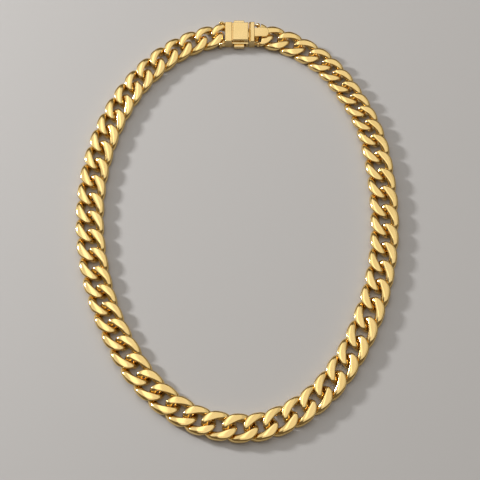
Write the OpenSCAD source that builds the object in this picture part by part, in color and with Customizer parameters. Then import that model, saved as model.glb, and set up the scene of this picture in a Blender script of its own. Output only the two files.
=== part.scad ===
// Curb chain necklace: a closed loop of flat twisted links with a box clasp.
// The loop lies flat on z = 0. The origin is the middle of its footprint.
// The clasp is at the far side of the loop (+Y); link numbers run clockwise
// from it as seen from above.

/* [Chain] */
// Width of the chain across its links
chain_w = 12.5; // [12.3:0.1:12.6]
// Height of the chain between the lowest and highest points of its links
chain_h = 4.2; // [4:0.1:4.3]
// Length of a link over its ends, where one link takes pitch_ref of the loop
link_l = 15.4; // [15.3:0.1:15.5]
// Loop length taken by one link of length link_l
pitch_ref = 8.8; // [8.7:0.05:8.9]
// Wire thickness at the ends of a link, in the link's own plane
wire_end = 3.2; // [3:0.1:3.2]
// Wire thickness at the flanks of a link, in the link's own plane
wire_side = 3.8; // [3.6:0.1:3.9]
// Wire thickness at the ends of a link, square to the link's own plane
end_depth = 3; // [2.8:0.1:3.1]
// Wire thickness at the flanks of a link, square to the link's own plane, before its faces are flattened
side_depth = 6; // [5.6:0.1:6.2]
// Twist of each end of a link about the line of the chain, in degrees
link_twist = 54; // [53:1:57]
// How square a link's outline is: 2 is an ellipse, more is squarer
link_square = 3.2; // [3:0.1:3.3]
// How much of a link's change in length its width follows
taper = 0.4; // [0:0.1:0.5]
// How flat the upper and lower faces are: a high number is flat, a low one domed
face_flat = 1.5; // [1.4:0.1:2]

/* [Clasp] */
// Length of the clasp over its two collars
clasp_l = 13.8; // [13.6:0.1:14]
// Width of the collars
clasp_w = 10.7; // [10.6:0.1:11]
// Height of the clasp
clasp_h = 5.5; // [5.4:0.1:5.7]
// Length of the box's own collar
collar_l = 3.3; // [3:0.1:3.4]
// Length of the tongue's collar
cap_l = 2.6; // [2.4:0.1:2.7]
// Gap between the box and the tongue's collar
seam = 0.3; // [0.2:0.05:0.4]
// Thickness of the box's walls
wall = 0.6; // [0.5:0.05:0.65]
// Height of the step along the box's front side
step_h = 3.2; // [3.1:0.05:3.3]
// Width of the strap at the tongue's end
strap_w = 4.7; // [4.4:0.1:5]
// Length of the strap beyond the tongue's collar
strap_l = 6.4; // [6:0.1:6.6]

/* [Press tabs] */
// Length of each tab along the clasp
tab_l = 4.9; // [4.5:0.1:5]
// Height of each tab
tab_h = 1.95; // [1.8:0.05:2]
// How far each tab stands out from the middle of the clasp
tab_reach = 6.7; // [6.5:0.1:6.8]
// Clearance round a tab in its window
tab_gap = 0.15; // [0.1:0.05:0.2]

/* [Hidden] */
// first and last link number of each joined stretch
segments = [[1, 5], [6, 10], [11, 15], [16, 20], [21, 25], [26, 29],
            [30, 33], [34, 38], [39, 43], [44, 48], [49, 53], [54, 57]];
function two(n) = str(n < 10 ? "0" : "", n);
function seg_name(s) = str("chain_links_", two(s[0]), "_", two(s[1]));
gold = "#dcb45a";
gold_light = "#e8c878";

// moves everything so that the origin is in the middle of the footprint
shift = [0.35, -0.46];
// centre of the clasp
clasp_at = [0.8, 95.15] + shift;
last_link = 58;      // link 0 and this one are half links, soldered to the clasp
route_step = 3;      // links from one row of the route to the next
route_first = -5;    // link number of the first row
// centres of every third link, x and y, before the shift
route = [[-28, 89], [-7, 96.2], [17.3, 93], [38, 81], [51, 63.5], [60, 43], [64, 17.5],
         [64, -9.5], [59, -35.5], [48.5, -61], [32.5, -82], [9.5, -94], [-16, -91.5],
         [-37, -76.5], [-51.5, -54], [-60.5, -30], [-65, -3.5], [-64, 23],
         [-57.5, 48.5], [-45.5, 70.5], [-27.8, 87.3], [-6, 95.3], [17.5, 93.5]];

rings = 20;          // rings of points round a link
around = 8;          // points round the wire
half_l = (link_l - wire_end) / 2;
half_w = (chain_w - wire_side) / 2;

// ---- where link number k is, which way the loop runs there, and how long it is
function between(p, q, r, s, f) =
    0.5 * (2 * q + (r - p) * f + (2 * p - 5 * q + 4 * r - s) * f * f
           + (-p + 3 * q - 3 * r + s) * f * f * f);
function at(k) =
    let (t = (k - route_first) / route_step,
         i = min(max(floor(t), 1), len(route) - 3))
    between(route[i - 1], route[i], route[i + 1], route[i + 2], t - i) + shift;
function along(k) = let (d = at(k + 0.5) - at(k - 0.5)) d / norm(d);
function stretch(k) = norm(at(k + 0.5) - at(k - 0.5)) / pitch_ref;
// the links near the clasp are shorter than those at the front, and a little narrower
function widen(k) = 1 + taper * (stretch(k) - 1);

// ---- one point of a link: angle t round the link, angle u round its wire
function pow_signed(v, e) = sign(v) * pow(abs(v), e);
// a plain twisted link about its own middle, before its faces are flattened
function twisted_point(t, u) =
    let (e = 2 / link_square, f = 2 - e,
         n0 = [half_w * pow_signed(cos(t), f), half_l * pow_signed(sin(t), f)],
         n = n0 / norm(n0),
         r = (wire_end + (wire_side - wire_end) * sin(t) * sin(t)) / 2,
         x = half_l * pow_signed(cos(t), e) + n[0] * r * cos(u),
         y = half_w * pow_signed(sin(t), e) + n[1] * r * cos(u),
         z = (end_depth + (side_depth - end_depth) * sin(t) * sin(t)) / 2 * sin(u),
         w = -link_twist * x / half_l)
    [x, y * cos(w) - z * sin(w), y * sin(w) + z * cos(w)];
// how high the plain twisted link reaches, and the height its faces are pressed towards
reach = max([for (t = [0 : 3 : 357]) for (u = [0 : 15 : 345]) twisted_point(t, u)[2]]);
press = reach / pow(pow(2 * reach / chain_h, face_flat) - 1, 1 / face_flat);
function flattened(z) = z / pow(1 + pow(abs(z / press), face_flat), 1 / face_flat);
function link_point(k, t, u) =
    let (c = at(k), d = along(k), s = stretch(k), g = widen(k), p = twisted_point(t, u))
    [c[0] + d[0] * p[0] * s - d[1] * p[1] * g,
     c[1] + d[1] * p[0] * s + d[0] * p[1] * g,
     chain_h / 2 + flattened(p[2])];

module whole_link(k)
    polyhedron(
        points = [for (i = [0 : rings - 1]) for (j = [0 : around - 1])
                  link_point(k, 360 * i / rings, 360 * j / around)],
        faces = [for (i = [0 : rings - 1]) for (j = [0 : around - 1])
                 let (a = i * around, b = ((i + 1) % rings) * around, q = (j + 1) % around)
                 each [[a + j, a + q, b + q], [a + j, b + q, b + j]]],
        convexity = 4);

// part of a link, from angle t0 to angle t1, with closed ends
module part_link(k, t0, t1, n = 12)
    polyhedron(
        points = [for (i = [0 : n]) for (j = [0 : around - 1])
                  link_point(k, t0 + (t1 - t0) * i / n, 360 * j / around)],
        faces = concat(
            [for (i = [0 : n - 1]) for (j = [0 : around - 1])
             let (a = i * around, b = a + around, q = (j + 1) % around)
             each [[a + j, a + q, b + q], [a + j, b + q, b + j]]],
            [[for (j = [around - 1 : -1 : 0]) j]],
            [[for (j = [0 : around - 1]) n * around + j]]),
        convexity = 4);

// joins link k to link k + 1 where their ends hook round each other
module link_joint(k) {
    c = at(k + 0.5);
    d = along(k + 0.5);
    translate([c[0], c[1], chain_h / 2]) rotate(atan2(d[1], d[0]))
        cube([(2 * half_l - pitch_ref) * stretch(k + 0.5), 1.2, 1.2], center = true);
}

// a stretch of the chain as one piece of metal
module chain_links(s)
    color(gold) resize([0, 0, 0]) union() {
        for (k = [s[0] : s[1]]) whole_link(k);
        for (k = [s[0] : s[1] - 1]) link_joint(k);
    }

// ---- the clasp, drawn about its own middle with its length along X
x0 = -clasp_l / 2;       // outer end of the box's collar
x1 = x0 + collar_l;      // where the collar ends and the box begins
x3 = clasp_l / 2 - cap_l;
x2 = x3 - seam;          // open end of the box
x4 = clasp_l / 2;        // outer end of the tongue's collar
hw = clasp_w / 2;
bw = hw - 0.15;          // half width of the box between the collars
pw = bw - 0.6;           // where the box's front steps in above step_h
in_b = bw - 0.8;         // inner face of the back wall and of the lower front wall
in_f = pw - 0.7;         // inner face of the upper front wall
win_x = x1 + 0.65;       // left end of both windows
win_l = tab_l + 2 * tab_gap + 0.5;
tab_z = 0.75;            // bottom of the front tab
back_z = clasp_h - wall - tab_gap - tab_h - 0.2;   // bottom of the back tab

// an outline in Y and Z, drawn out along X
module run_x(a, b) translate([a, 0, 0]) rotate([90, 0, 90]) linear_extrude(b - a) children();
// outline of a collar, with its upper edges cut back by c and its top lowered by low
module collar_outline(c = 0.35, low = 0)
    polygon([[-hw + 0.2, 0], [hw - 0.2, 0], [hw, 0.2], [hw, clasp_h - low - c],
             [hw - c, clasp_h - low], [-hw + c, clasp_h - low], [-hw, clasp_h - low - c],
             [-hw, 0.2]]);
module box_outline()
    polygon([[-bw, 0], [bw, 0], [bw, clasp_h - 0.25], [bw - 0.25, clasp_h],
             [-pw + 0.25, clasp_h], [-pw, clasp_h - 0.25], [-pw, step_h], [-bw, step_h]]);
// the narrow sunk band between the collar and the box
module groove_outline()
    polygon([[-bw + 0.3, 0.1], [bw - 0.3, 0.1], [bw - 0.3, clasp_h - 0.35],
             [-pw + 0.3, clasp_h - 0.35], [-pw + 0.3, step_h - 0.3], [-bw + 0.3, step_h - 0.3]]);

// pin with a round flat head on the tongue's collar; side is -1 at the front, 1 at the back
module peg(side)
    translate([x4 - 0.3, side * (hw - 0.15), 2.35]) rotate([0, 90, 0])
        rotate_extrude($fn = 32)
            polygon([[0, 0], [0.45, 0], [0.45, 1.2], [0.9, 1.35], [1.15, 1.75], [1.15, 2.35],
                     [0.8, 2.85], [0, 2.95]]);
// bent stub on the box's collar: an arm and the upright it ends in
module stub(side) {
    translate([x0 - 1.3, side * (hw + 0.25) - 0.5, 3.6]) cube([1.6, 1, 0.9]);
    translate([x0 - 2.1, side * (hw + 0.5) - 0.5, 3.6]) cube([1.2, 1, 0.9]);
    translate([x0 - 2.1, side * (hw + 0.5), 0.2]) cylinder(d = 1.1, h = 3.9, $fn = 32);
    translate([x0 - 2.1, side * (hw + 0.5), 4.1]) sphere(d = 1.1, $fn = 24);
}

module clasp_box()
    color(gold_light) union() {
        translate([clasp_at[0], clasp_at[1], 0]) {
            difference() {
                union() {
                    run_x(x0, x1) collar_outline();
                    run_x(x1 - 0.2, x1 + 0.4) groove_outline();
                    run_x(x1 + 0.2, x2) box_outline();
                }
                // hollow for the tongue, open at the tongue's end
                translate([x1 + 0.6, -in_b, wall]) cube([x2 - x1, 2 * in_b, step_h - 2 * wall - 0.1]);
                translate([x1 + 0.6, -in_f, wall]) cube([x2 - x1, in_f + in_b, clasp_h - 2 * wall]);
                // windows of the two tabs
                translate([win_x, -bw - 1, tab_z - tab_gap])
                    cube([win_l, bw + 1 - in_f + 0.1, tab_h + 2 * tab_gap]);
                translate([win_x, in_b - 0.2, back_z - tab_gap])
                    cube([win_l, 2, tab_h + 2 * tab_gap]);
            }
            for (side = [-1, 1]) stub(side);
        }
        part_link(last_link, 88, 267.6);
    }

module clasp_tongue()
    color(gold_light) union() {
        translate([clasp_at[0], clasp_at[1], 0]) {
            run_x(x3 + 0.9, x4) collar_outline();
            // sloping edge towards the box, in three steps of height
            for (i = [0 : 2])
                run_x(x3 + 0.3 * i, x3 + 0.3 * i + 0.4) collar_outline(0.35, 0.6 - 0.2 * i);
            // plate inside the box
            translate([x1 + 1, -1.4, 1.5]) cube([x3 - x1 - 0.8, 2.8, 1]);
            // strap over the first link, and the block under it
            translate([x4 - 0.2, 0, 4.35]) linear_extrude(0.75)
                polygon([[0, -strap_w / 2], [strap_l - 0.8, -strap_w / 2],
                         [strap_l, -strap_w / 2 + 0.6], [strap_l + 0.2, 0],
                         [strap_l, strap_w / 2 - 0.6], [strap_l - 0.8, strap_w / 2],
                         [0, strap_w / 2]]);
            translate([x4 - 0.2, -2, 1.3]) cube([1.9, 4, 3.2]);
            for (side = [-1, 1]) peg(side);
        }
        // the half link hangs in the block by its straight bar
        translate([at(0)[0], at(0)[1], 0]) rotate(atan2(along(0)[1], along(0)[0])) {
            translate([-1, -half_w - 0.4, 1.4]) cube([1.8, 2 * half_w + 0.6, 1.2]);
            translate([-1, -half_w - 0.4, 1.4]) cube([3.7, 1.1, 1.2]);
        }
        part_link(0, -79, 89);
    }

// ---- press tabs: the head outside, the stem in the window, the flange inside
module front_press_tab()
    color(gold) translate([clasp_at[0] + win_x + tab_gap, clasp_at[1], 0]) {
        translate([0, -tab_reach, tab_z]) cube([tab_l, tab_reach - in_f + 0.4, tab_h]);
        translate([0, -in_f + 0.1, tab_z]) cube([tab_l, 0.7, tab_h + 0.9]);
    }
module back_press_tab()
    color(gold) translate([clasp_at[0] + win_x + tab_gap, clasp_at[1], 0]) {
        translate([0, in_b - 0.5, back_z]) cube([tab_l, tab_reach - in_b + 0.5, tab_h]);
        translate([0, in_b - 0.8, back_z - 0.9]) cube([tab_l, 0.7, tab_h + 0.9]);
    }

for (s = segments) chain_links(s);
clasp_box();
clasp_tongue();
front_press_tab();
back_press_tab();
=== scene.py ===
import math
import bmesh
import bpy
import numpy as np
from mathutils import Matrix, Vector


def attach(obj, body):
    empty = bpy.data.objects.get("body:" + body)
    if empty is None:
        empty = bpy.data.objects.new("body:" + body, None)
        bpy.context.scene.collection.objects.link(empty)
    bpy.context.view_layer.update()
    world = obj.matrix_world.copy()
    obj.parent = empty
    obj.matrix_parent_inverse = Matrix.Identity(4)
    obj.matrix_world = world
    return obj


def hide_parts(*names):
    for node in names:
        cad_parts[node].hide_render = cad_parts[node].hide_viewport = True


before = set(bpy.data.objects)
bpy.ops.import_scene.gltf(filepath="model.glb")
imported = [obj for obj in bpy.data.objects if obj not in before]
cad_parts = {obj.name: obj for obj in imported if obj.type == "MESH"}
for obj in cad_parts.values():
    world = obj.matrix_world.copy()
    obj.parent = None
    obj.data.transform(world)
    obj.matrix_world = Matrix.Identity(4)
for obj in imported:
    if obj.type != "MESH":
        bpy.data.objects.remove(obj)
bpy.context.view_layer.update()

# ------------------------------------------------------------------ sizes, mm, as in the CAD
SHIFT = np.array([0.35, -0.46])
CLASP = np.array([0.8, 95.15]) + SHIFT
ROUTE = np.array([[-28, 89], [-7, 96.2], [17.3, 93], [38, 81], [51, 63.5], [60, 43],
                  [64, 17.5], [64, -9.5], [59, -35.5], [48.5, -61], [32.5, -82], [9.5, -94],
                  [-16, -91.5], [-37, -76.5], [-51.5, -54], [-60.5, -30], [-65, -3.5],
                  [-64, 23], [-57.5, 48.5], [-45.5, 70.5], [-27.8, 87.3], [-6, 95.3],
                  [17.5, 93.5]], float)
SEGMENTS = [(1, 5), (6, 10), (11, 15), (16, 20), (21, 25), (26, 29), (30, 33), (34, 38),
            (39, 43), (44, 48), (49, 53), (54, 57)]
A, B = 6.1, 4.35             # half sizes of a link's centreline
R_END, R_SIDE = 1.6, 1.9     # half width of the wire at the ends and at the sides
H_END, H_SIDE = 1.5, 3.0     # half depth of the wire
TWIST, THICK, SQUARE = math.radians(54), 4.2, 3.2
DOME = 1.5                   # how flat the facets are; lower is more domed


# ------------------------------------------------------------------ helpers
def make(name, verts, faces, body="necklace"):
    """A mesh object from vertices in mm."""
    me = bpy.data.meshes.new(name)
    me.from_pydata((np.asarray(verts, float) / 1000).tolist(), [], [list(f) for f in faces])
    me.validate()
    me.polygons.foreach_set("use_smooth", [True] * len(me.polygons))
    ob = bpy.data.objects.new(name, me)
    bpy.context.scene.collection.objects.link(ob)
    return ob


def applied(ob):
    """ob with its modifiers turned into mesh."""
    dg = bpy.context.evaluated_depsgraph_get()
    dg.update()
    me = bpy.data.meshes.new_from_object(ob.evaluated_get(dg))
    ob.modifiers.clear()
    old = ob.data
    ob.data = me
    bpy.data.meshes.remove(old)
    return ob


def boolean(ob, other, operation="DIFFERENCE"):
    m = ob.modifiers.new("b", "BOOLEAN")
    m.operation, m.solver, m.object = operation, "EXACT", other
    applied(ob)
    bpy.data.objects.remove(other)
    return ob


def rounded(ob, width, segments=3, angle=30):
    """Rounds the edges of ob by width mm."""
    m = ob.modifiers.new("v", "BEVEL")
    m.width, m.segments, m.limit_method = width / 1000, segments, "ANGLE"
    m.angle_limit = math.radians(angle)
    m.use_clamp_overlap = True
    m.miter_outer = "MITER_ARC"
    n = ob.modifiers.new("n", "WEIGHTED_NORMAL")
    n.mode, n.weight, n.keep_sharp = "FACE_AREA", 80, False
    applied(ob)
    ob.data.polygons.foreach_set("use_smooth", [True] * len(ob.data.polygons))
    return ob


def chamfer(ob, chosen, width, segments=4):
    """Rounds only the edges for which chosen(end, end) is true; the ends are in mm about the clasp."""
    bm = bmesh.new()
    bm.from_mesh(ob.data)
    local = lambda v: np.array(v.co) * 1000 - [CLASP[0], CLASP[1], 0]
    edges = [e for e in bm.edges if chosen(local(e.verts[0]), local(e.verts[1]))]
    bmesh.ops.bevel(bm, geom=edges, offset=width / 1000, offset_type="OFFSET", segments=segments, profile=0.5, affect="EDGES")
    bm.to_mesh(ob.data)
    bm.free()
    return ob


def block(name, x0, x1, y0, y1, z0, z1):
    v = [(x, y, z) for x in (x0, x1) for y in (y0, y1) for z in (z0, z1)]
    f = [(0, 1, 3, 2), (4, 6, 7, 5), (0, 4, 5, 1), (2, 3, 7, 6), (0, 2, 6, 4), (1, 5, 7, 3)]
    return make(name, np.array(v) + [CLASP[0], CLASP[1], 0], f)


def prism_x(name, outline, x0, x1):
    """An outline in Y and Z drawn out along X."""
    n = len(outline)
    v = [(x, y, z) for x in (x0, x1) for y, z in outline]
    f = [tuple(range(n))[::-1], tuple(range(n, 2 * n))]
    f += [(i, (i + 1) % n, n + (i + 1) % n, n + i) for i in range(n)]
    ob = make(name, np.array(v) + [CLASP[0], CLASP[1], 0], f)
    return outward(ob)


def prism_z(name, outline, z0, z1):
    n = len(outline)
    v = [(x, y, z) for z in (z0, z1) for x, y in outline]
    f = [tuple(range(n))[::-1], tuple(range(n, 2 * n))]
    f += [(i, (i + 1) % n, n + (i + 1) % n, n + i) for i in range(n)]
    return outward(make(name, np.array(v) + [CLASP[0], CLASP[1], 0], f))


def outward(ob):
    bm = bmesh.new()
    bm.from_mesh(ob.data)
    bmesh.ops.recalc_face_normals(bm, faces=bm.faces)
    bm.to_mesh(ob.data)
    bm.free()
    return ob


def lathe_x(name, profile, at, n=48):
    """A profile of (distance along X, radius) turned about an axis along X that starts at the point at."""
    v, f = [], []
    for x, r in profile:
        for i in range(n):
            a = 2 * math.pi * i / n
            v.append((at[0] + x, at[1] + max(r, 0.001) * math.cos(a), at[2] + max(r, 0.001) * math.sin(a)))
    for j in range(len(profile) - 1):
        for i in range(n):
            k = (i + 1) % n
            f.append((j * n + i, j * n + k, (j + 1) * n + k, (j + 1) * n + i))
    f.append(tuple(range(n)))
    f.append(tuple(range((len(profile) - 1) * n, len(profile) * n))[::-1])
    return outward(make(name, np.array(v) + [CLASP[0], CLASP[1], 0], f))


def tube(name, path, radii, n=24):
    """A round wire along a path of points, mm about the clasp."""
    p = np.asarray(path, float)
    t = np.gradient(p, axis=0)
    t /= np.linalg.norm(t, axis=1)[:, None]
    ref = np.array([0.0, 1.0, 0.0])
    v, f = [], []
    for i in range(len(p)):
        a = np.cross(t[i], ref)
        a /= np.linalg.norm(a)
        b = np.cross(t[i], a)
        for j in range(n):
            u = 2 * math.pi * j / n
            v.append(p[i] + radii[i] * (a * math.cos(u) + b * math.sin(u)))
    for i in range(len(p) - 1):
        for j in range(n):
            k = (j + 1) % n
            f.append((i * n + j, i * n + k, (i + 1) * n + k, (i + 1) * n + j))
    f.append(tuple(range(n)))
    f.append(tuple(range((len(p) - 1) * n, len(p) * n))[::-1])
    return outward(make(name, np.array(v) + [CLASP[0], CLASP[1], 0], f))


def bend(points, radius, n=8):
    """A path through the points with its corners rounded."""
    p = [np.asarray(q, float) for q in points]
    out = [p[0]]
    for i in range(1, len(p) - 1):
        a, b, c = p[i - 1], p[i], p[i + 1]
        u = (a - b) / np.linalg.norm(a - b)
        w = (c - b) / np.linalg.norm(c - b)
        for j in range(n + 1):
            s = j / n
            out.append((1 - s) ** 2 * (b + u * radius) + 2 * s * (1 - s) * b + s * s * (b + w * radius))
    out.append(p[-1])
    return np.array(out)


# ------------------------------------------------------------------ the links
def at(k):
    t = (k + 5) / 3
    i = min(max(int(math.floor(t)), 1), len(ROUTE) - 3)
    f = t - i
    p, q, r, s = ROUTE[i - 1:i + 3]
    return 0.5 * (2 * q + (r - p) * f + (2 * p - 5 * q + 4 * r - s) * f * f
                  + (-p + 3 * q - 3 * r + s) * f ** 3) + SHIFT


def centreline(t):
    e = 2 / SQUARE
    c, s = np.cos(t), np.sin(t)
    x = A * np.sign(c) * np.abs(c) ** e
    y = B * np.sign(s) * np.abs(s) ** e
    nx = B * np.sign(c) * np.abs(c) ** (2 - e)
    ny = A * np.sign(s) * np.abs(s) ** (2 - e)
    length = np.hypot(nx, ny)
    return x, y, nx / length, ny / length


def even(t0, t1, n, closed):
    """n values of t from t0 to t1 that lie evenly along the centreline."""
    t = np.linspace(t0, t1, 4001)
    x, y, _, _ = centreline(t)
    d = np.concatenate([[0], np.cumsum(np.hypot(np.diff(x), np.diff(y)))])
    return np.interp(np.linspace(0, d[-1], n, endpoint=not closed), d, t)


def twisted(t, m):
    """A plain twisted link about its own middle, before its faces are flattened."""
    x, y, nx, ny = centreline(t)
    u = np.arange(m) * 2 * np.pi / m
    s2 = np.sin(t) ** 2
    r = R_END + (R_SIDE - R_END) * s2
    h = H_END + (H_SIDE - H_END) * s2
    x = x[:, None] + (nx * r)[:, None] * np.cos(u)
    y = y[:, None] + (ny * r)[:, None] * np.cos(u)
    z = h[:, None] * np.sin(u)
    w = -TWIST * x / A
    return x, y * np.cos(w) - z * np.sin(w), y * np.sin(w) + z * np.cos(w)


def link_points(k, t, m):
    reach = twisted(np.radians(np.arange(0, 360, 3.0)), 24)[2].max()
    press = reach / ((2 * reach / THICK) ** DOME - 1) ** (1 / DOME)
    x, yy, zz = twisted(t, m)
    zz = zz / (1 + np.abs(zz / press) ** DOME) ** (1 / DOME)
    c = at(k)
    d = at(k + 0.5) - at(k - 0.5)
    s = np.linalg.norm(d) / 8.8
    d = d / np.linalg.norm(d)
    x, yy = x * s, yy * (1 + 0.4 * (s - 1))
    return np.stack([c[0] + d[0] * x - d[1] * yy, c[1] + d[1] * x + d[0] * yy,
                     zz + THICK / 2], -1).reshape(-1, 3)


def whole_link(k, n=80, m=32):
    v = link_points(k, even(0, 2 * math.pi, n, True), m)
    f = [(i * m + j, i * m + (j + 1) % m, (i + 1) % n * m + (j + 1) % m, (i + 1) % n * m + j)
         for i in range(n) for j in range(m)]
    return outward(make(f"link_{k:02d}", v, f))


def half_link(name, k, t0, t1, n=48, m=32):
    v = link_points(k, even(math.radians(t0), math.radians(t1), n, False), m)
    f = [(i * m + j, i * m + (j + 1) % m, (i + 1) * m + (j + 1) % m, (i + 1) * m + j)
         for i in range(n - 1) for j in range(m)]
    f += [tuple(range(m)), tuple(range((n - 1) * m, n * m))]
    return outward(make(name, v, f))


links = []
for a, b in SEGMENTS:
    for k in range(a, b + 1):
        ob = whole_link(k)
        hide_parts(f"chain_links_{a:02d}_{b:02d}")
        links.append(ob)

# ------------------------------------------------------------------ the clasp
X0, X1, X2, X3, X4 = -6.9, -3.6, 4.0, 4.3, 6.9
HW, BW, PW, H = 5.35, 5.2, 4.6, 5.5
STEP = 3.2
IN_B, IN_F = 4.4, 3.9
WIN_X, WIN_L = -2.95, 5.7
TAB_Z, TAB_H, BACK_Z = 0.75, 1.95, 2.6


def on_top(a, b):
    """An edge of the upper face."""
    return a[2] > H - 0.01 and b[2] > H - 0.01


BAND = [(-HW, 0), (HW, 0), (HW, H), (-HW, H)]
box_collar = rounded(chamfer(prism_x("box_collar", BAND, X0, X1 - 0.03), on_top, 0.38), 0.1, 2)
groove = rounded(prism_x("box_groove", [(-BW + 0.3, 0.1), (BW - 0.3, 0.1), (BW - 0.3, H - 0.55), (-PW + 0.3, H - 0.55),
                                        (-PW + 0.3, STEP - 0.3), (-BW + 0.3, STEP - 0.3)], X1 - 0.2, X1 + 0.4), 0.05, 2)
shell = prism_x("box_shell", [(-BW, 0), (BW, 0), (BW, H), (-PW, H), (-PW, STEP), (-BW, STEP - 0.17)], X1 + 0.27, X2)
chamfer(shell, on_top, 0.45)
boolean(shell, prism_x("cut", [(-IN_B, 0.6), (IN_B, 0.6), (IN_B, H - 0.6), (-IN_F, H - 0.6), (-IN_F, STEP - 0.7),
                               (-IN_B, STEP - 0.7)], X1 + 0.43, X2 + 1))
boolean(shell, block("cut", WIN_X, WIN_X + WIN_L, -BW - 1, -IN_F + 0.1, TAB_Z - 0.15, TAB_Z + TAB_H + 0.15))
boolean(shell, block("cut", WIN_X, WIN_X + WIN_L, IN_B - 0.2, IN_B + 2, BACK_Z - 0.15, BACK_Z + TAB_H + 0.15))
rounded(shell, 0.09, 2)
box_half = half_link("box_half_link", 58, 88, 267.6)
hooks = []
for side, name in ((-1, "hook_front"), (1, "hook_back")):
    y = side * (HW + 0.5)
    path = bend([(X0 + 0.3, side * (HW - 0.7), 4.1), (X0 - 1.2, y, 4.05), (X0 - 2.1, y, 3.9), (X0 - 2.1, y, 2.2), (X0 - 2.1, y, 0.2)], 0.55)
    post = path[:, 0] < X0 - 2
    hooks.append(tube(name, path, np.where(post, 0.66, 0.5)))
box_parts = [box_collar, groove, shell, box_half] + hooks
for ob in box_parts:
    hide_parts("clasp_box")

tongue_collar = chamfer(prism_x("tongue_collar", BAND, X3, X4), lambda a, b: on_top(a, b) and not (a[0] < X3 + 0.01 and b[0] < X3 + 0.01), 0.38)
cut = make("cut", np.array([(X3 - 1, -9, H - 0.75), (X3, -9, H - 0.75), (X3 + 0.95, -9, H + 0.02), (X3 + 0.95, -9, H + 2), (X3 - 1, -9, H + 2),
                            (X3 - 1, 9, H - 0.75), (X3, 9, H - 0.75), (X3 + 0.95, 9, H + 0.02), (X3 + 0.95, 9, H + 2), (X3 - 1, 9, H + 2)]) + [CLASP[0], CLASP[1], 0],
           [(0, 1, 2, 3, 4), (9, 8, 7, 6, 5), (0, 5, 6, 1), (1, 6, 7, 2), (2, 7, 8, 3), (3, 8, 9, 4), (4, 9, 5, 0)])
outward(cut)
boolean(tongue_collar, cut)
rounded(tongue_collar, 0.1, 2)
plate = rounded(block("tongue_plate", X1 + 1, X3 + 0.2, -1.4, 1.4, 1.5, 2.5), 0.15)
arc = [(X4 - 0.2, -2.35), (X4 + 5.2, -2.35)]
arc += [(X4 + 5.2 + 1.35 * math.sin(a), -2.35 + 2.35 * (1 - math.cos(a))) for a in np.linspace(0.15, math.pi - 0.15, 17)]
arc += [(X4 + 5.2, 2.35), (X4 - 0.2, 2.35)]
strap = rounded(prism_z("end_strap", arc, 4.35, 5.1), 0.2)
strap_block = rounded(block("tongue_block", X4 - 0.2, X4 + 1.7, -2, 2, 1.3, 4.5), 0.15)
pegs = []
for side, name in ((-1, "peg_front"), (1, "peg_back")):
    pegs.append(lathe_x(name, [(0, 0.45), (1.1, 0.45), (1.3, 0.62), (1.45, 0.95), (1.65, 1.12), (1.95, 1.15), (2.25, 1.08),
                               (2.55, 0.85), (2.8, 0.5), (2.92, 0.2), (2.95, 0.0)], (X4 - 0.3, side * (HW - 0.15), 2.35)))
tongue_half = half_link("tongue_half_link", 0, -79, 89)


def in_link_zero(name, x0, x1, y0, y1, z0, z1):
    c = at(0)
    d = at(0.5) - at(-0.5)
    d /= np.linalg.norm(d)
    v = [(c[0] + d[0] * x - d[1] * y, c[1] + d[1] * x + d[0] * y, z) for x in (x0, x1) for y in (y0, y1) for z in (z0, z1)]
    f = [(0, 1, 3, 2), (4, 6, 7, 5), (0, 4, 5, 1), (2, 3, 7, 6), (0, 2, 6, 4), (1, 5, 7, 3)]
    return make(name, v, f)


bar = rounded(in_link_zero("tongue_bar", -1, 0.8, -B - 0.4, B + 0.2, 1.4, 2.6), 0.3)
leg = rounded(in_link_zero("tongue_leg", -1, 2.7, -B - 0.4, -B + 0.7, 1.4, 2.6), 0.25)
tongue_parts = [tongue_collar, plate, strap, strap_block, tongue_half, bar, leg] + pegs
for ob in tongue_parts:
    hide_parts("clasp_tongue")

tx = WIN_X + 0.15
front_tab = rounded(block("tab_front", tx, tx + 4.9, -6.7, -3.5, TAB_Z, TAB_Z + TAB_H), 0.3)
front_flange = rounded(block("tab_front_flange", tx, tx + 4.9, -3.8, -3.1, TAB_Z, TAB_Z + TAB_H + 0.9), 0.1)
back_tab = rounded(block("tab_back", tx, tx + 4.9, 3.9, 6.7, BACK_Z, BACK_Z + TAB_H), 0.3)
back_flange = rounded(block("tab_back_flange", tx, tx + 4.9, 3.6, 4.3, BACK_Z - 0.9, BACK_Z + TAB_H), 0.1)
for ob in (front_tab, front_flange):
    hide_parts("front_press_tab")
for ob in (back_tab, back_flange):
    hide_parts("back_press_tab")


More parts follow.
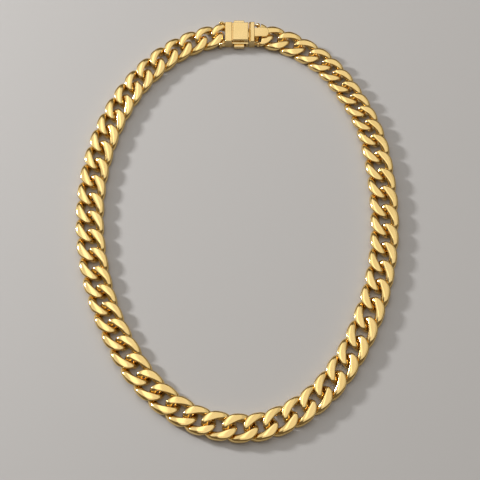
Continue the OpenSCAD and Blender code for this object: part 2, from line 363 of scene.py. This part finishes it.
# ------------------------------------------------------------------ materials
def gold_material(name, colour, rough=0.16, seed=0.0):
    mat = bpy.data.materials.new(name)
    mat.use_nodes = True
    nt = mat.node_tree
    nt.nodes.clear()
    add = nt.nodes.new
    out = add("ShaderNodeOutputMaterial")
    bs = add("ShaderNodeBsdfPrincipled")
    nt.links.new(bs.outputs["BSDF"], out.inputs["Surface"])
    bs.inputs["Metallic"].default_value = 1.0
    tc = add("ShaderNodeTexCoord")
    mp = add("ShaderNodeMapping")
    mp.inputs["Location"].default_value = (seed, seed * 0.7, seed * 0.3)
    nt.links.new(tc.outputs["Object"], mp.inputs["Vector"])
    # broad patches of slightly different colour
    n1 = add("ShaderNodeTexNoise")
    n1.inputs["Scale"].default_value = 60
    n1.inputs["Detail"].default_value = 3
    nt.links.new(mp.outputs["Vector"], n1.inputs["Vector"])
    ramp = add("ShaderNodeValToRGB")
    ramp.color_ramp.elements[0].position = 0.35
    ramp.color_ramp.elements[1].position = 0.68
    ramp.color_ramp.elements[0].color = (colour[0] * 0.95, colour[1] * 0.93, colour[2] * 0.88, 1)
    ramp.color_ramp.elements[1].color = (min(colour[0] * 1.03, 1), colour[1] * 1.04, colour[2] * 1.08, 1)
    nt.links.new(n1.outputs["Fac"], ramp.inputs["Fac"])
    # painted shade: concave creases and hollows (low pointiness) get a darker, browner base colour
    geo = add("ShaderNodeNewGeometry")
    crease_shade = add("ShaderNodeMapRange")
    crease_shade.inputs["From Min"].default_value = 0.43
    crease_shade.inputs["From Max"].default_value = 0.505
    crease_shade.inputs["To Min"].default_value = 1.0
    crease_shade.inputs["To Max"].default_value = 0.0
    nt.links.new(geo.outputs["Pointiness"], crease_shade.inputs["Value"])
    painted_shade_mix = add("ShaderNodeMixRGB")
    painted_shade_mix.inputs["Color2"].default_value = (colour[0] * 0.55, colour[1] * 0.4, colour[2] * 0.15, 1)
    nt.links.new(crease_shade.outputs["Result"], painted_shade_mix.inputs["Fac"])
    nt.links.new(ramp.outputs["Color"], painted_shade_mix.inputs["Color1"])
    # painted highlight: convex edges (high pointiness) get a paler, less saturated base colour
    edge = add("ShaderNodeMapRange")
    edge.inputs["From Min"].default_value = 0.55
    edge.inputs["From Max"].default_value = 0.68
    edge.inputs["To Max"].default_value = 0.55
    nt.links.new(geo.outputs["Pointiness"], edge.inputs["Value"])
    painted_highlight_mix = add("ShaderNodeMixRGB")
    painted_highlight_mix.inputs["Color2"].default_value = (min(colour[0] * 1.04, 1), min(colour[1] * 1.12, 1), min(colour[2] * 1.45, 1), 1)
    nt.links.new(edge.outputs["Result"], painted_highlight_mix.inputs["Fac"])
    nt.links.new(painted_shade_mix.outputs["Color"], painted_highlight_mix.inputs["Color1"])
    nt.links.new(painted_highlight_mix.outputs["Color"], bs.inputs["Base Color"])
    # polish: patches of slightly duller metal and fine hairlines
    n2 = add("ShaderNodeTexNoise")
    n2.inputs["Scale"].default_value = 320
    n2.inputs["Detail"].default_value = 4
    nt.links.new(mp.outputs["Vector"], n2.inputs["Vector"])
    r1 = add("ShaderNodeMapRange")
    r1.inputs["From Min"].default_value = 0.3
    r1.inputs["From Max"].default_value = 0.7
    r1.inputs["To Min"].default_value = rough * 0.8
    r1.inputs["To Max"].default_value = rough * 1.35
    nt.links.new(n2.outputs["Fac"], r1.inputs["Value"])
    nt.links.new(r1.outputs["Result"], bs.inputs["Roughness"])
    mp2 = add("ShaderNodeMapping")
    mp2.inputs["Scale"].default_value = (1, 7, 1)
    mp2.inputs["Rotation"].default_value = (0, 0, 0.6)
    nt.links.new(mp.outputs["Vector"], mp2.inputs["Vector"])
    n3 = add("ShaderNodeTexNoise")
    n3.inputs["Scale"].default_value = 900
    n3.inputs["Detail"].default_value = 5
    nt.links.new(mp2.outputs["Vector"], n3.inputs["Vector"])
    bump = add("ShaderNodeBump")
    bump.inputs["Strength"].default_value = 0.05
    bump.inputs["Distance"].default_value = 0.00004
    nt.links.new(n3.outputs["Fac"], bump.inputs["Height"])
    n4 = add("ShaderNodeTexNoise")
    n4.inputs["Scale"].default_value = 140
    n4.inputs["Detail"].default_value = 1
    nt.links.new(mp.outputs["Vector"], n4.inputs["Vector"])
    bump2 = add("ShaderNodeBump")
    bump2.inputs["Strength"].default_value = 0.08
    bump2.inputs["Distance"].default_value = 0.0003
    nt.links.new(n4.outputs["Fac"], bump2.inputs["Height"])
    nt.links.new(bump.outputs["Normal"], bump2.inputs["Normal"])
    nt.links.new(bump2.outputs["Normal"], bs.inputs["Normal"])
    return mat


gold = gold_material("gold_links", (0.94, 0.685, 0.28), 0.13)
gold_clasp = gold_material("gold_clasp", (0.95, 0.7, 0.31), 0.13, 3.0)
for ob in links + [box_half, tongue_half, bar, leg]:
    ob.data.materials.clear()
    ob.data.materials.append(gold)
for ob in box_parts + tongue_parts + [front_tab, front_flange, back_tab, back_flange]:
    if not ob.data.materials or ob.data.materials[0] is None:
        ob.data.materials.clear()
        ob.data.materials.append(gold_clasp)

for ob in links + box_parts + tongue_parts:
    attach(ob, "necklace")
for ob in (front_tab, front_flange):
    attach(ob, "front_tab")
for ob in (back_tab, back_flange):
    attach(ob, "back_tab")

# ------------------------------------------------------------------ floor, light, camera
me = bpy.data.meshes.new("floor")
S = 3.0
me.from_pydata([(-S, -S, -0.00003), (S, -S, -0.00003), (S, S, -0.00003), (-S, S, -0.00003)], [], [(0, 1, 2, 3)])
floor = bpy.data.objects.new("floor", me)
bpy.context.scene.collection.objects.link(floor)
fm = bpy.data.materials.new("pale_floor")
fm.use_nodes = True
fb = fm.node_tree.nodes["Principled BSDF"]
fb.inputs["Base Color"].default_value = (0.52, 0.51, 0.502, 1)
fb.inputs["Roughness"].default_value = 0.7
me.materials.append(fm)

world = bpy.data.worlds.new("studio")
bpy.context.scene.world = world
world.use_nodes = True
world.node_tree.nodes["Background"].inputs["Color"].default_value = (1.0, 0.81, 0.57, 1)
world.node_tree.nodes["Background"].inputs["Strength"].default_value = 0.14


def softbox(name, place, size, radiance, aim=None, colour=(1, 1, 1)):
    """A flat soft lamp, facing straight down unless it is aimed at a point."""
    lamp = bpy.data.lights.new(name, "AREA")
    lamp.shape, lamp.size, lamp.size_y, lamp.color = "RECTANGLE", size[0], size[1], colour
    lamp.energy = radiance * math.pi * size[0] * size[1]
    ob = bpy.data.objects.new(name, lamp)
    bpy.context.scene.collection.objects.link(ob)
    ob.location = place
    if aim is not None:
        ob.rotation_euler = (Vector(aim) - Vector(place)).to_track_quat("-Z", "Y").to_euler()
    return ob


softbox("key", (-0.931, 0.407, 0.421), (0.12, 0.12), 240, aim=(0, 0, 0))
softbox("overhead", (-1.25, 0.95, 1.2), (2.3, 2.0), 0.73, colour=(0.98, 1, 1.04))
softbox("front", (0.1, 0.4, 1.19), (1.0, 2.0), 0.78)
softbox("side", (1.3, 0.5, 1.21), (1.4, 2.2), 0.52)

cam = bpy.data.cameras.new("camera")
camera = bpy.data.objects.new("camera", cam)
bpy.context.scene.collection.objects.link(camera)
EL, D = math.radians(66), 0.61219
target = (0.001224, -0.010081, 0.002)
camera.location = (target[0], target[1] - D * math.cos(EL), target[2] + D * math.sin(EL))
camera.rotation_euler = (math.radians(90) - EL, 0, 0)
cam.sensor_width, cam.lens, cam.clip_start = 36, 105, 0.01
bpy.context.scene.camera = camera
bpy.context.scene.view_settings.view_transform = "Standard"
